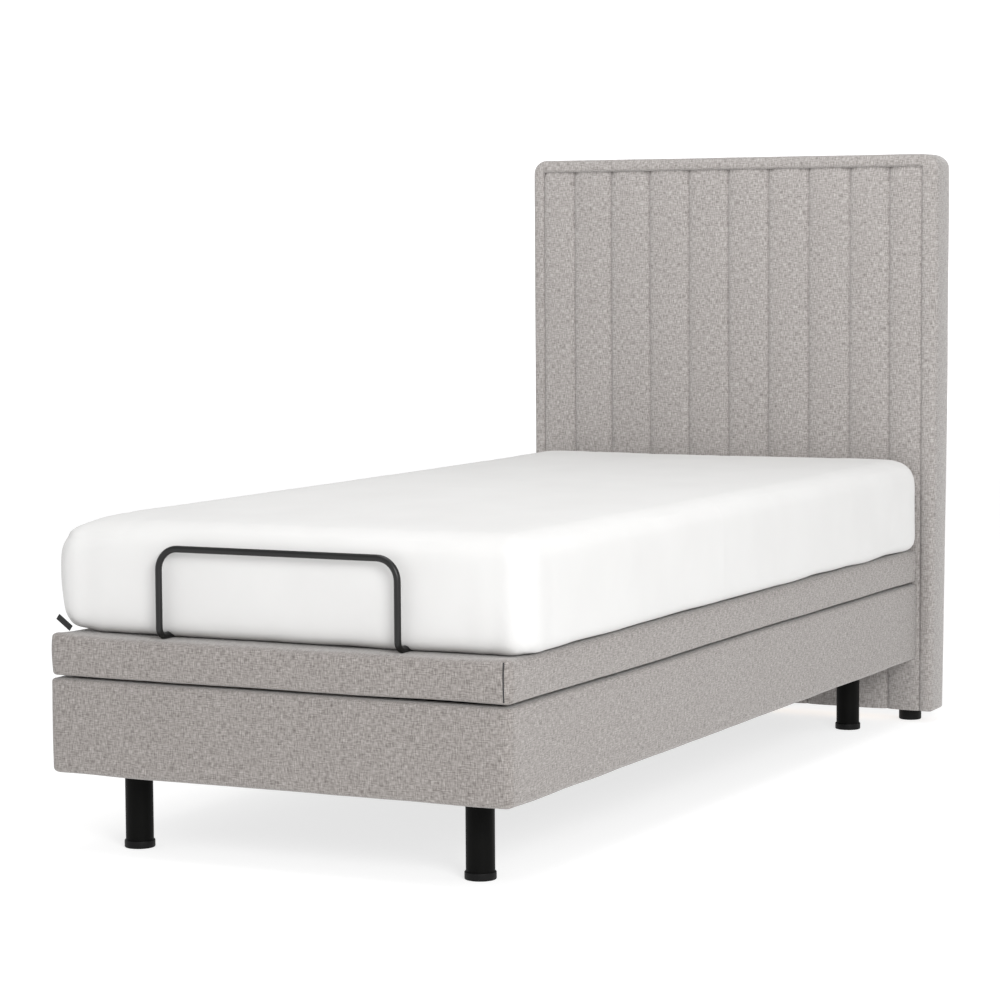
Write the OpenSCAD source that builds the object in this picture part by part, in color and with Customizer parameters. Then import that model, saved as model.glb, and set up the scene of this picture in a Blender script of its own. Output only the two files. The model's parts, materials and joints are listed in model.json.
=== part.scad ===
// Single adjustable bed: an upholstered box on legs with a four-section moving deck, a twin drive
// inside, a mattress, a foot-end retaining bar and a channelled headboard.
// Millimetres. X runs across the bed, Y from foot to head, Z up from the floor.
// The origin is on the floor, midway between the foot face and the back of the headboard.

/* [Box] */
// Width of the upholstered box and of the moving deck
bed_w = 900; // [760:10:1100]
// Length of the box from foot face to headboard
bed_l = 2040; // [1960:10:2400]
// Height of the box underside above the floor
box_bottom = 142; // [120:1:220]
// Height of the fixed box
box_h = 168; // [150:1:240]
// Thickness of the box side and end boards
box_board_t = 18; // [12:1:25]
// Thickness of the padded cover on the outside of the box
cover_t = 8; // [4:1:12]

/* [Deck] */
// Gap between the box and the moving deck above it
seam_gap = 4; // [3:0.5:8]
// Height of the padded moving deck
deck_h = 86; // [60:1:120]
// Thickness of each section board
section_board_t = 14; // [10:1:20]
// Length of the back section
back_l = 760; // [680:10:860]
// Length of the fixed seat section
seat_l = 230; // [180:10:320]
// Length of the thigh section
thigh_l = 320; // [300:10:400]
// Gap between the section boards at each hinge line
board_gap = 24; // [22:1:40]
// Side of the square steel tube under the sections
rail_s = 20; // [16:1:25]

/* [Hinges] */
// Diameter of the hinge pins
pin_d = 10; // [6:1:12]
// Thickness of the hinge ears
ear_t = 4; // [3:0.5:6]
// Radius of the round end of each ear
ear_r = 10; // [9:0.5:10.5]

/* [Mattress] */
// How far the mattress stands out past the box on each side
mattress_overhang = 20; // [0:1:40]
// Height of the mattress
mattress_h = 190; // [120:5:260]
// Distance of the mattress from the foot face, where the retaining bar stands
mattress_setback = 34; // [30:1:60]

/* [Headboard] */
// How far the headboard stands out past the box on each side
headboard_overhang = 36; // [20:1:80]
// Height of the top of the headboard above the floor
headboard_top = 1260; // [1000:10:1500]
// Height of the bottom edge of the headboard above the floor
headboard_bottom = 28; // [20:1:60]
// Thickness of the headboard
headboard_t = 95; // [80:1:130]
// Width of the padded border around the channelled panel
border_w = 25; // [18:1:40]
// Number of sewn channels
channel_count = 10; // [6:1:14]
// Thickness of the channelled front pad
face_pad_t = 30; // [20:1:40]

/* [Legs] */
// Diameter of the round legs
leg_d = 50; // [36:1:60]
// Diameter of the cap under each leg
cap_d = 55; // [52:1:66]
// Height of the cap under each leg
cap_h = 14; // [10:1:30]
// Distance of the leg centres from the side of the box
leg_inset_x = 109; // [70:1:160]
// Distance of the foot legs from the foot face
leg_inset_foot = 108; // [90:1:220]
// Distance of the head legs from the headboard
leg_inset_head = 132; // [80:1:220]
// Distance of the headboard glides from the middle
glide_x = 419; // [300:1:440]

/* [Retaining bar] */
// Diameter of the bar
bar_d = 12; // [10:1:16]
// Distance between the two upright legs of the bar
bar_w = 470; // [300:10:600]
// Height of the middle of the top rail above the deck
bar_h = 148; // [100:2:220]
// Radius of the two upper bends
bar_bend_r = 38; // [25:1:60]
// Distance of the bar from the foot face
bar_setback = 17; // [15:1:18]

/* [Lift] */
// Outer diameter of the torsion tubes
tube_d = 25; // [20:1:30]
// Height of the section hinges above the torsion tubes
tube_drop = 70; // [60:1:80]
// Horizontal distance from each section hinge to its torsion tube
tube_shift = 100; // [80:1:120]
// Length of the back lift arms along the deck
back_arm_l = 300; // [240:10:360]
// Length of the thigh lift arms along the deck
thigh_arm_l = 170; // [150:5:190]
// Distance of the lift arms from the middle of the bed
arm_x = 300; // [200:5:310]
// Length of the levers that the drive pushes
lever_l = 55; // [50:1:58]
// Travel of the back section in degrees
back_travel = 60; // [40:1:65]
// Travel of the thigh section in degrees
thigh_travel = 32; // [20:1:35]

/* [Drive] */
// Width of the drive housing
drive_w = 170; // [160:2:220]
// Wall of the drive housing
drive_wall = 3; // [2:0.5:4]
// Length of each carriage
carriage_l = 104; // [98:2:106]
// Diameter of the drive spindles
spindle_d = 14; // [10:1:16]

/* [Hidden] */
$fn = 48;
running_gap = 0.05;
open_gap = 0.3;
rest_gap = 0.5;
skin = 2;
foot_y = -(bed_l + headboard_t) / 2;
head_y = foot_y + bed_l;
back_face_y = head_y + headboard_t;
box_x = bed_w / 2;
box_top = box_bottom + box_h;
board_x = box_x - cover_t;
inner_x = board_x - box_board_t;
deck_z = box_top + seam_gap;
deck_top = deck_z + deck_h;
board_z = deck_z + skin;
board_top = board_z + section_board_t;
axis_z = board_z + 2;
deck_board_x = box_x - 14;
end_border = 14;
ledge_top = board_z - rail_s;
ledge_w = 44;
ledge_h = 25;
ledge_x = inner_x - ledge_w;
rail_x = ledge_x + ear_t;
rail_start = 16;
ear_l = 60;
ear_h = 12;

back_hinge_y = head_y - back_l;
thigh_hinge_y = back_hinge_y - seat_l;
knee_hinge_y = thigh_hinge_y - thigh_l;
head_gap = 2;

mattress_top = deck_top + mattress_h;
mattress_x = box_x + mattress_overhang;
leg_x = box_x - leg_inset_x;
leg_foot_y = foot_y + leg_inset_foot;
leg_head_y = head_y - leg_inset_head;
cap_floor = 4;
leg_plate = 80;
leg_plate_t = 4;
leg_rail_w = 120;
leg_rail_t = 22;
cloth_t = 1.5;
leg_rail_z = box_bottom + cloth_t + 2.5 + leg_plate_t;

border_x = box_x + headboard_overhang;
face_x = border_x - border_w;
face_top = headboard_top - border_w;
back_cloth_t = 3;
core_t = headboard_t - face_pad_t - back_cloth_t;
core_y = head_y + face_pad_t;

tube_r = tube_d / 2;
tube_wall = 2.5;
tube_z = axis_z - tube_drop;
back_tube_y = back_hinge_y + tube_shift;
leg_tube_y = thigh_hinge_y - tube_shift;
arm_drop = rail_s + 10;
arm_t = 8;
link_t = 6;
link_x = arm_x + arm_t / 2 + 2;
bracket_x = link_x + link_t + 4;
rod_d = 12;
rod_z = axis_z - arm_drop;
bush_r = tube_r + 4.5;
bracket_t = 6;

drive_mid_y = (back_tube_y + leg_tube_y) / 2;
drive_half = (back_tube_y - leg_tube_y) / 2;
drive_end = 40;
drive_top = tube_z + 28;
drive_bottom = tube_z - 78;
drive_x = drive_w / 2;
spindle_r = spindle_d / 2;
spindle_z = tube_z - 43;
lever_t = 10;
lever_tip_r = 8;
carriage_x = 30;
carriage_h = 40;
guide_x = 24;
guide_w = 8;
push_gap = 0.8;
nose_l = 24;
nose_clear = 1.6;
gearbox_l = 50;
gearbox_y = 8;
thread_end = 2;
bolt_r = 4;
bolt_clear_r = 4.3;
bolt_x = 300;
bolt_low_z = box_bottom + 38;
bolt_high_z = box_top - 50;
bolt_bite = 40;

bar_r = bar_d / 2;
bar_y = foot_y + bar_setback;
bar_x = bar_w / 2;
bar_top_z = deck_top + bar_h;
bar_low_r = 16;
bar_low_z = deck_top - bar_r;
bar_run = 60;
bar_post_y = bar_y + bar_run + 2 * bar_low_r;
socket_r = 10;
socket_h = 36;

// ---------- shared shapes ----------

// A box between two corners
module block(low, high) {
    translate(low)
        cube(high - low);
}

// A flat shape in the Y-Z plane, given thickness along X from x0 to x1
module plate_x(x0, x1) {
    translate([x0, 0, 0])
        rotate([90, 0, 90])
            linear_extrude(x1 - x0)
                children();
}

// A round bar along X between x0 and x1, at y and z
module rod_x(r, x0, x1, y, z) {
    translate([x0, y, z])
        rotate([0, 90, 0])
            cylinder(r = r, h = x1 - x0);
}

// The child and its mirror image across the middle of the bed
module both_sides() {
    children();
    mirror([1, 0, 0])
        children();
}

// The child as modelled for the back, or turned end for end for the legs
module toward(side) {
    if (side > 0)
        children();
    else
        mirror([0, 1, 0])
            children();
}

// ---------- box ----------

module side_boards() {
    color("burlywood")
        both_sides()
            block([inner_x, foot_y + cover_t, box_bottom + cloth_t],
                [board_x, head_y - cover_t, box_top - skin]);
}

module end_boards() {
    color("burlywood")
        difference() {
            for (y = [foot_y + cover_t, head_y - cover_t - box_board_t])
                block([-inner_x, y, box_bottom + cloth_t],
                    [inner_x, y + box_board_t, box_top - skin]);
            bolt_holes(bolt_clear_r);
        }
}

module leg_rails() {
    color("burlywood")
        for (y = [leg_foot_y, leg_head_y])
            block([-inner_x, y - leg_rail_w / 2, leg_rail_z],
                [inner_x, y + leg_rail_w / 2, leg_rail_z + leg_rail_t]);
}

module side_ledges() {
    color("burlywood")
        both_sides()
            block([ledge_x, foot_y + cover_t + box_board_t, ledge_top - ledge_h],
                [inner_x, head_y - cover_t - box_board_t, ledge_top]);
}

module dust_cover() {
    color("dimgray")
        difference() {
            block([-board_x, foot_y + cover_t, box_bottom],
                [board_x, head_y - cover_t, box_bottom + cloth_t]);
            for (x = [-leg_x, leg_x], y = [leg_foot_y, leg_head_y])
                translate([x, y, box_bottom - 1])
                    cylinder(d = leg_d + 2 * open_gap, h = cloth_t + 2);
        }
}

module box_cover_side() {
    color("silver")
        block([board_x, foot_y, box_bottom], [box_x, head_y, box_top]);
}

module box_cover_left() {
    mirror([1, 0, 0])
        box_cover_side();
}

module box_cover_right() {
    box_cover_side();
}

module box_cover_end(y) {
    color("silver")
        difference() {
            block([-board_x, y, box_bottom], [board_x, y + cover_t, box_top]);
            bolt_holes(bolt_clear_r);
        }
}

module box_cover_foot() {
    box_cover_end(foot_y);
}

module box_cover_head() {
    box_cover_end(head_y - cover_t);
}

// ---------- legs ----------

module leg(x, y) {
    color("black")
        translate([x, y, 0]) {
            difference() {
                translate([0, 0, cap_floor])
                    cylinder(d = leg_d, h = leg_rail_z - leg_plate_t - cap_floor);
                translate([0, 0, cap_floor - 1])
                    cylinder(d = leg_d - 4, h = leg_rail_z - leg_plate_t - cap_floor + 1);
            }
            translate([-leg_plate / 2, -leg_plate / 2, leg_rail_z - leg_plate_t])
                cube([leg_plate, leg_plate, leg_plate_t]);
        }
}

module leg_foot_left() {
    leg(-leg_x, leg_foot_y);
}

module leg_foot_right() {
    leg(leg_x, leg_foot_y);
}

module leg_head_left() {
    leg(-leg_x, leg_head_y);
}

module leg_head_right() {
    leg(leg_x, leg_head_y);
}

module leg_caps() {
    color("black")
        for (x = [-leg_x, leg_x], y = [leg_foot_y, leg_head_y])
            translate([x, y, 0])
                difference() {
                    cylinder(d = cap_d, h = cap_h);
                    translate([0, 0, cap_floor])
                        cylinder(d = leg_d, h = cap_h);
                }
}

// ---------- headboard ----------

module headboard_core() {
    color("burlywood")
        difference() {
            block([-face_x, core_y, headboard_bottom], [face_x, core_y + core_t, face_top]);
            bolt_holes(bolt_r);
        }
}

// Front pad: one sewn panel with a shallow groove at each channel seam
module headboard_face_pad() {
    channel_w = 2 * face_x / channel_count;
    groove = 3;
    color("silver")
        difference() {
            block([-face_x, head_y, headboard_bottom], [face_x, core_y, face_top]);
            for (i = [1 : channel_count - 1])
                block([-face_x + i * channel_w - groove / 2, head_y - 1, box_top],
                    [-face_x + i * channel_w + groove / 2, head_y + groove, face_top + 1]);
            bolt_holes(bolt_clear_r);
        }
}

module headboard_border_side() {
    color("silver")
        block([face_x, head_y, headboard_bottom],
            [border_x, back_face_y - back_cloth_t, headboard_top]);
}

module headboard_border_left() {
    mirror([1, 0, 0])
        headboard_border_side();
}

module headboard_border_right() {
    headboard_border_side();
}

module headboard_border_top() {
    color("silver")
        block([-face_x, head_y, face_top], [face_x, back_face_y - back_cloth_t, headboard_top]);
}

module headboard_back_cover() {
    color("gray")
        block([-border_x, back_face_y - back_cloth_t, headboard_bottom],
            [border_x, back_face_y, headboard_top]);
}

module headboard_glides() {
    color("black")
        for (x = [-glide_x, glide_x])
            translate([x, core_y + core_t / 2, 0])
                cylinder(d = leg_d, h = headboard_bottom);
}

// The child once at each headboard bolt, on the inner face of the head end board
module each_bolt() {
    for (x = [-bolt_x, bolt_x], z = [bolt_low_z, bolt_high_z])
        translate([x, head_y - cover_t - box_board_t, z])
            rotate([-90, 0, 0])
                children();
}

// The round hole each headboard bolt passes through
module bolt_holes(r) {
    each_bolt()
        translate([0, 0, -1])
            cylinder(r = r, h = cover_t + box_board_t + face_pad_t + bolt_bite + 1);
}

module headboard_bolts() {
    washer_r = 12;
    washer_t = 2;
    head_r = 7;
    head_t = 5;
    color("lightgray")
        each_bolt() {
            cylinder(r = bolt_r, h = cover_t + box_board_t + face_pad_t + bolt_bite);
            translate([0, 0, -washer_t])
                cylinder(r = washer_r, h = washer_t);
            translate([0, 0, -washer_t - head_t])
                cylinder(r = head_r, h = head_t, $fn = 6);
        }
}

// ---------- deck sections ----------

module section_board(y0, y1) {
    color("burlywood")
        block([-deck_board_x, y0, board_z], [deck_board_x, y1, board_top]);
}

module rail_pair(y0, y1, lift) {
    both_sides()
        block([rail_x, y0, ledge_top + lift], [rail_x + rail_s, y1, board_z]);
}

// One hinge ear: a flat bar with a round end on the hinge axis, reaching towards dir
module ear(x, y, dir, clearance) {
    plate_x(x, x + ear_t)
        translate([y, axis_z])
            difference() {
                union() {
                    circle(r = ear_r);
                    translate([dir > 0 ? 0 : -ear_l, board_z - ear_h - axis_z])
                        square([ear_l, ear_h]);
                }
                circle(r = pin_d / 2 + clearance);
            }
}

// Ears on the outer face of the rails hold the pin; ears on the inner face turn on it
module outer_ears(y, dir) {
    both_sides()
        ear(rail_x + rail_s, y, dir, 0);
}

module inner_ears(y, dir) {
    both_sides()
        ear(rail_x - ear_t, y, dir, running_gap);
}

module pin_pair(y) {
    head_t = 3;
    x0 = rail_x - ear_t - 1;
    x1 = rail_x + rail_s + ear_t;
    both_sides() {
        rod_x(pin_d / 2, x0, x1, y, axis_z);
        rod_x(pin_d / 2 + 2, x1, x1 + head_t, y, axis_z);
    }
}

// The padded layer of one section: a border all round the board and the pad above it
module section_pad(y0, y1, open0, open1) {
    slack = 0.2;
    color("silver")
        difference() {
            block([-box_x, y0, deck_z], [box_x, y1, deck_top]);
            block([-deck_board_x - slack, y0 + (open0 ? -1 : end_border - slack), deck_z - 1],
                [deck_board_x + slack, y1 - (open1 ? -1 : end_border - slack), board_top]);
        }
}

module mattress_zone(y0, y1) {
    color("white")
        block([-mattress_x, y0, deck_top], [mattress_x, y1, mattress_top]);
}

module seat_board() {
    section_board(thigh_hinge_y + board_gap / 2, back_hinge_y - board_gap / 2);
}

module seat_rails() {
    color("dimgray") {
        rail_pair(thigh_hinge_y + rail_start, back_hinge_y - rail_start, 0);
        outer_ears(back_hinge_y, -1);
        outer_ears(thigh_hinge_y, 1);
    }
}

module seat_pad() {
    section_pad(thigh_hinge_y, back_hinge_y, true, true);
}

module seat_mattress() {
    mattress_zone(thigh_hinge_y, back_hinge_y);
}

module hinge_pins() {
    color("lightgray") {
        pin_pair(back_hinge_y);
        pin_pair(thigh_hinge_y);
    }
}

// A cross tube under a board; where it carries the link rod it has two drilled lugs
module crossbar(y, lugs) {
    bar_half = 15;
    lug_r = 11;
    block([-rail_x, y - bar_half, ledge_top + rest_gap], [rail_x, y + bar_half, board_z]);
    if (lugs)
        both_sides()
            plate_x(bracket_x, bracket_x + bracket_t)
                translate([y, rod_z])
                    difference() {
                        union() {
                            circle(r = lug_r);
                            translate([-lug_r, 0])
                                square([2 * lug_r, ledge_top + rest_gap - rod_z + 1]);
                        }
                        circle(r = rod_d / 2 + running_gap);
                    }
}

module back_board() {
    section_board(back_hinge_y + board_gap / 2, head_y - head_gap - end_border);
}

module back_rails() {
    color("dimgray") {
        rail_pair(back_hinge_y + rail_start, head_y - 2 * end_border - box_board_t, rest_gap);
        inner_ears(back_hinge_y, 1);
    }
}

module back_crossbars() {
    color("dimgray") {
        crossbar(back_hinge_y + back_arm_l, true);
        crossbar(back_hinge_y + back_l - 120, false);
    }
}

module back_pad() {
    section_pad(back_hinge_y, head_y - head_gap, true, false);
}

module back_mattress() {
    mattress_zone(back_hinge_y, head_y - head_gap);
}

module thigh_board() {
    section_board(knee_hinge_y + board_gap / 2, thigh_hinge_y - board_gap / 2);
}

module thigh_rails() {
    color("dimgray") {
        rail_pair(knee_hinge_y + rail_start, thigh_hinge_y - rail_start, rest_gap);
        inner_ears(thigh_hinge_y, -1);
        outer_ears(knee_hinge_y, 1);
    }
}

module thigh_crossbars() {
    color("dimgray")
        crossbar(thigh_hinge_y - thigh_arm_l, true);
}

module thigh_pad() {
    section_pad(knee_hinge_y, thigh_hinge_y, true, true);
}

module thigh_mattress() {
    mattress_zone(knee_hinge_y, thigh_hinge_y);
}

module knee_pins() {
    color("lightgray")
        pin_pair(knee_hinge_y);
}

module calf_board() {
    section_board(foot_y + end_border, knee_hinge_y - board_gap / 2);
}

module calf_rails() {
    color("dimgray") {
        rail_pair(foot_y + 2 * end_border + box_board_t, knee_hinge_y - rail_start, rest_gap);
        inner_ears(knee_hinge_y, -1);
    }
}

// The calf pad has a slot for each foot of the retaining bar
module calf_pad() {
    slack = 0.5;
    color("silver")
        difference() {
            section_pad(foot_y, knee_hinge_y, false, true);
            both_sides() {
                block([bar_x - bar_r - slack, bar_y - bar_r - slack, bar_low_z - bar_r - slack],
                    [bar_x + bar_r + slack, bar_post_y, deck_top + 1]);
                block([bar_x - socket_r - slack, bar_post_y - bar_low_r - bar_r, board_top - 1],
                    [bar_x + socket_r + slack, bar_post_y + socket_r + slack, deck_top + 1]);
            }
        }
}

module calf_mattress() {
    mattress_zone(foot_y + mattress_setback, knee_hinge_y);
}

// ---------- retaining bar ----------

// A quarter bend of the bar in the X-Y plane, centred on the origin
module bend(r) {
    rotate_extrude(angle = 90)
        translate([r, 0])
            circle(r = bar_r);
}

module retaining_bar() {
    upper_z = bar_top_z - bar_bend_r;
    lower_z = bar_low_z + bar_low_r;
    color("black") {
        rod_x(bar_r, -bar_x + bar_bend_r, bar_x - bar_bend_r, bar_y, bar_top_z);
        both_sides() {
            translate([bar_x - bar_bend_r, bar_y, upper_z])
                rotate([90, 0, 0])
                    bend(bar_bend_r);
            translate([bar_x, bar_y, lower_z])
                cylinder(r = bar_r, h = upper_z - lower_z);
            translate([bar_x, bar_y + bar_low_r, lower_z])
                rotate([90, 0, 90])
                    rotate([0, 0, 180])
                        bend(bar_low_r);
            translate([bar_x, bar_y + bar_low_r, bar_low_z])
                rotate([-90, 0, 0])
                    cylinder(r = bar_r, h = bar_run);
            translate([bar_x, bar_y + bar_low_r + bar_run, bar_low_z - bar_low_r])
                rotate([90, 0, 90])
                    bend(bar_low_r);
            translate([bar_x, bar_post_y, board_top + 2])
                cylinder(r = bar_r, h = bar_low_z - bar_low_r - board_top - 2);
        }
    }
}

module bar_sockets() {
    color("dimgray")
        both_sides()
            translate([bar_x, bar_post_y, board_top])
                difference() {
                    cylinder(r = socket_r, h = socket_h);
                    translate([0, 0, 2])
                        cylinder(r = bar_r + running_gap, h = socket_h);
                }
}

// ---------- lift linkage ----------

module tube_brackets() {
    half = 24;
    color("dimgray")
        both_sides()
            for (y = [back_tube_y, leg_tube_y])
                plate_x(ledge_x - bracket_t, ledge_x)
                    difference() {
                        translate([y - half, tube_z - half])
                            square([2 * half, ledge_top - tube_z + half - 2]);
                        translate([y, tube_z])
                            circle(r = bush_r);
                    }
}

module tube_bushes() {
    color("ivory")
        both_sides()
            for (y = [back_tube_y, leg_tube_y])
                difference() {
                    rod_x(bush_r, ledge_x - bracket_t - 3, ledge_x + 3, y, tube_z);
                    rod_x(tube_r + running_gap, ledge_x - bracket_t - 4, ledge_x + 4, y, tube_z);
                }
}

// Torsion tube with two lift arms and the lever that the drive pushes
module lift(arm_l, lean) {
    hub_r = tube_r + 6;
    tip_r = 12;
    web_hub = 14;
    web_tip = 10;
    color("dimgray") {
        difference() {
            rod_x(tube_r, -ledge_x - 8, ledge_x + 8, 0, 0);
            rod_x(tube_r - tube_wall, -ledge_x - 9, ledge_x + 9, 0, 0);
        }
        both_sides()
            plate_x(arm_x - arm_t / 2, arm_x + arm_t / 2)
                difference() {
                    union() {
                        circle(r = hub_r);
                        translate([arm_l, -arm_drop])
                            circle(r = tip_r);
                        polygon([[0, -web_hub], [arm_l, -arm_drop - web_tip],
                            [arm_l, -arm_drop + web_tip], [0, web_hub]]);
                    }
                    circle(r = tube_r - tube_wall);
                    translate([arm_l, -arm_drop])
                        circle(r = pin_d / 2 + open_gap);
                }
        plate_x(-lever_t / 2, lever_t / 2)
            rotate(-lean)
                difference() {
                    union() {
                        circle(r = hub_r);
                        translate([0, -lever_l])
                            circle(r = lever_tip_r);
                        translate([-lever_tip_r, -lever_l])
                            square([2 * lever_tip_r, lever_l]);
                    }
                    circle(r = tube_r - tube_wall);
                }
    }
}

module back_lift() {
    translate([0, back_tube_y, tube_z])
        lift(back_arm_l, back_travel / 2);
}

module leg_lift() {
    translate([0, leg_tube_y, tube_z])
        toward(-1)
            lift(thigh_arm_l, thigh_travel / 2);
}

// Two links on one rod; each link's lower pin turns in a lift arm
module links() {
    end_r = 8;
    reach = [tube_shift, -tube_drop];
    angle = atan2(reach.y, reach.x);
    length = norm(reach);
    color("lightgray") {
        rod_x(rod_d / 2, -bracket_x - bracket_t - 2, bracket_x + bracket_t + 2, 0, 0);
        both_sides() {
            plate_x(link_x, link_x + link_t)
                rotate(angle) {
                    circle(r = end_r);
                    translate([length, 0])
                        circle(r = end_r);
                    translate([0, -end_r])
                        square([length, 2 * end_r]);
                }
            rod_x(pin_d / 2, arm_x - arm_t / 2 - 2, link_x, reach.x, reach.y);
        }
    }
}

module back_links() {
    translate([0, back_hinge_y + back_arm_l, rod_z])
        links();
}

module leg_links() {
    translate([0, thigh_hinge_y - thigh_arm_l, rod_z])
        toward(-1)
            links();
}

// ---------- drive ----------

// One half of the housing, between z0 and z1, with its floor or roof at wall_z
module drive_shell(z0, z1, wall_z) {
    y0 = leg_tube_y - drive_end;
    y1 = back_tube_y + drive_end;
    inner = drive_x - drive_wall;
    difference() {
        block([-drive_x, y0, z0], [drive_x, y1, z1]);
        block([-inner, y0 + drive_wall, wall_z == z0 ? z0 + drive_wall : z0 - 1],
            [inner, y1 - drive_wall, wall_z == z0 ? z1 + 1 : z1 - drive_wall]);
        for (y = [back_tube_y, leg_tube_y])
            rod_x(tube_r + open_gap, -drive_x - 1, drive_x + 1, y, tube_z);
    }
}

// The lower half carries the ribs that the carriages slide on
module drive_shell_lower() {
    rib_top = spindle_z - carriage_h / 2 - open_gap;
    color("darkgray") {
        drive_shell(drive_bottom, tube_z, drive_bottom);
        both_sides()
            block([guide_x - guide_w / 2, leg_tube_y - drive_end + drive_wall, drive_bottom + 1],
                [guide_x + guide_w / 2, back_tube_y + drive_end - drive_wall, rib_top]);
    }
}

module drive_shell_upper() {
    color("darkgray")
        drive_shell(tube_z, drive_top, drive_top);
}

// Sealed gearmotor of one half: gearbox on the spindle line and a motor lying across
module gearmotor() {
    half = 24;
    motor_r = 19;
    base_z = spindle_z - carriage_h / 2;
    block([-half, gearbox_y, base_z], [half, gearbox_y + gearbox_l, spindle_z + half]);
    rod_x(motor_r, half, drive_x - drive_wall - 2, gearbox_y + gearbox_l / 2, spindle_z);
}

module gearmotors() {
    color("dimgray")
        translate([0, drive_mid_y, 0]) {
            gearmotor();
            toward(-1)
                gearmotor();
        }
}

// Mains inlet and handset socket on the side of the lower shell
module drive_sockets() {
    socket_w = 28;
    socket_z = tube_z - 60;
    depth = 12;
    color("black")
        for (y = [drive_mid_y - 40, drive_mid_y + 40])
            difference() {
                block([-drive_x - depth, y - socket_w / 2, socket_z],
                    [-drive_x, y + socket_w / 2, socket_z + 20]);
                block([-drive_x - depth - 1, y - socket_w / 2 + 4, socket_z + 4],
                    [-drive_x - 3, y + socket_w / 2 - 4, socket_z + 16]);
            }
}

// Distance from the middle of the drive to the pushing face of a carriage at rest
function push_face(lean) = drive_half - lever_l * sin(lean) - lever_tip_r - push_gap;

// Height of a carriage's nose, just low enough to stay clear of the lever's shank when it leans out
function nose_top(lean) =
    tube_z - lever_l * cos(lean) - nose_clear
    + (lever_tip_r + push_gap - lever_tip_r / cos(lean)) / tan(lean);

// A block bored for the spindle, with a low nose that pushes the lever's tip
module carriage(lean) {
    face = push_face(lean);
    base_z = spindle_z - carriage_h / 2;
    color("ivory")
        difference() {
            union() {
                block([-carriage_x, face - carriage_l, base_z],
                    [carriage_x, face - nose_l, spindle_z + carriage_h / 2]);
                block([-carriage_x, face - nose_l - 1, base_z], [carriage_x, face, nose_top(lean)]);
            }
            translate([0, face - carriage_l - 1, spindle_z])
                rotate([-90, 0, 0])
                    cylinder(r = spindle_r + open_gap, h = carriage_l + 1 - nose_l);
        }
}

module back_carriage() {
    translate([0, drive_mid_y, 0])
        carriage(back_travel / 2);
}

module leg_carriage() {
    translate([0, drive_mid_y, 0])
        toward(-1)
            carriage(thigh_travel / 2);
}

module spindle(lean) {
    start = gearbox_y + gearbox_l + open_gap;
    color("lightgray")
        translate([0, start, spindle_z])
            rotate([-90, 0, 0])
                cylinder(r = spindle_r, h = push_face(lean) - nose_l - thread_end - start);
}

module back_spindle() {
    translate([0, drive_mid_y, 0])
        spindle(back_travel / 2);
}

module leg_spindle() {
    translate([0, drive_mid_y, 0])
        toward(-1)
            spindle(thigh_travel / 2);
}

// ---------- drawing ----------

side_boards();
end_boards();
leg_rails();
side_ledges();
dust_cover();
box_cover_left();
box_cover_right();
box_cover_foot();
box_cover_head();
leg_foot_left();
leg_foot_right();
leg_head_left();
leg_head_right();
leg_caps();
headboard_core();
headboard_face_pad();
headboard_border_left();
headboard_border_right();
headboard_border_top();
headboard_back_cover();
headboard_glides();
headboard_bolts();
seat_board();
seat_rails();
seat_pad();
seat_mattress();
hinge_pins();
tube_brackets();
tube_bushes();
drive_shell_lower();
drive_shell_upper();
gearmotors();
drive_sockets();
back_board();
back_rails();
back_crossbars();
back_pad();
back_mattress();
thigh_board();
thigh_rails();
thigh_crossbars();
thigh_pad();
thigh_mattress();
knee_pins();
calf_board();
calf_rails();
calf_pad();
calf_mattress();
retaining_bar();
bar_sockets();
back_lift();
leg_lift();
back_links();
leg_links();
back_carriage();
leg_carriage();
back_spindle();
leg_spindle();
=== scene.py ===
# %% [markdown]
# # An adjustable bed, dressed for its portrait
# The engineering model of the bed is already there: boards, rails, hinges, drive and plain
# blocks where the cloth and the mattress will be. This lesson puts the real surfaces round
# that frame: sewn cloth, a mattress in its sheet, a channelled headboard, coated steel.
# Everything is in metres, X to the right as seen from the foot end, Y towards the headboard.

import json
from contextlib import contextmanager
from math import exp, pi, radians, sin

import bmesh
import bpy
from mathutils import Matrix, Vector, noise


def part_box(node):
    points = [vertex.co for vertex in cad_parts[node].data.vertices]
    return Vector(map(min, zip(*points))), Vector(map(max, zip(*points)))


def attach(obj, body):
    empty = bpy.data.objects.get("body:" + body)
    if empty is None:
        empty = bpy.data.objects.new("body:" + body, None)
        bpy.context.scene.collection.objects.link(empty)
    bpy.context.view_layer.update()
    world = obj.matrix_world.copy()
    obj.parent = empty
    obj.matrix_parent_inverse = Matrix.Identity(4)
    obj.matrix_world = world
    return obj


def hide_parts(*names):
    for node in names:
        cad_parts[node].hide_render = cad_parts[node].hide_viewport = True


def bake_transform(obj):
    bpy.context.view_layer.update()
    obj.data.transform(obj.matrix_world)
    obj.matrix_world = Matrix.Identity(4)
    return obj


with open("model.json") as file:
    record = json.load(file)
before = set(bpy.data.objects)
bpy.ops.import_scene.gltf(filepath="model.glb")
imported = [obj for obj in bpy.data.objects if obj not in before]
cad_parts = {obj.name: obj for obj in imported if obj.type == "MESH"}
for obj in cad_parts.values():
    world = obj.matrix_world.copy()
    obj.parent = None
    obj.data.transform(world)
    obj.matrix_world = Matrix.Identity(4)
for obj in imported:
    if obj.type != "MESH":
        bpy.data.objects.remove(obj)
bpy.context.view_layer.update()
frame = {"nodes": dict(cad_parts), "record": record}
for plain in list(bpy.data.materials):
    bpy.data.materials.remove(plain)

# %% [markdown]
# ## Where things are
# A piece goes where the frame says. Reading the places off the frame's own blocks means that
# a change to the bed's length or width carries through to every surface made here.

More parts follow.
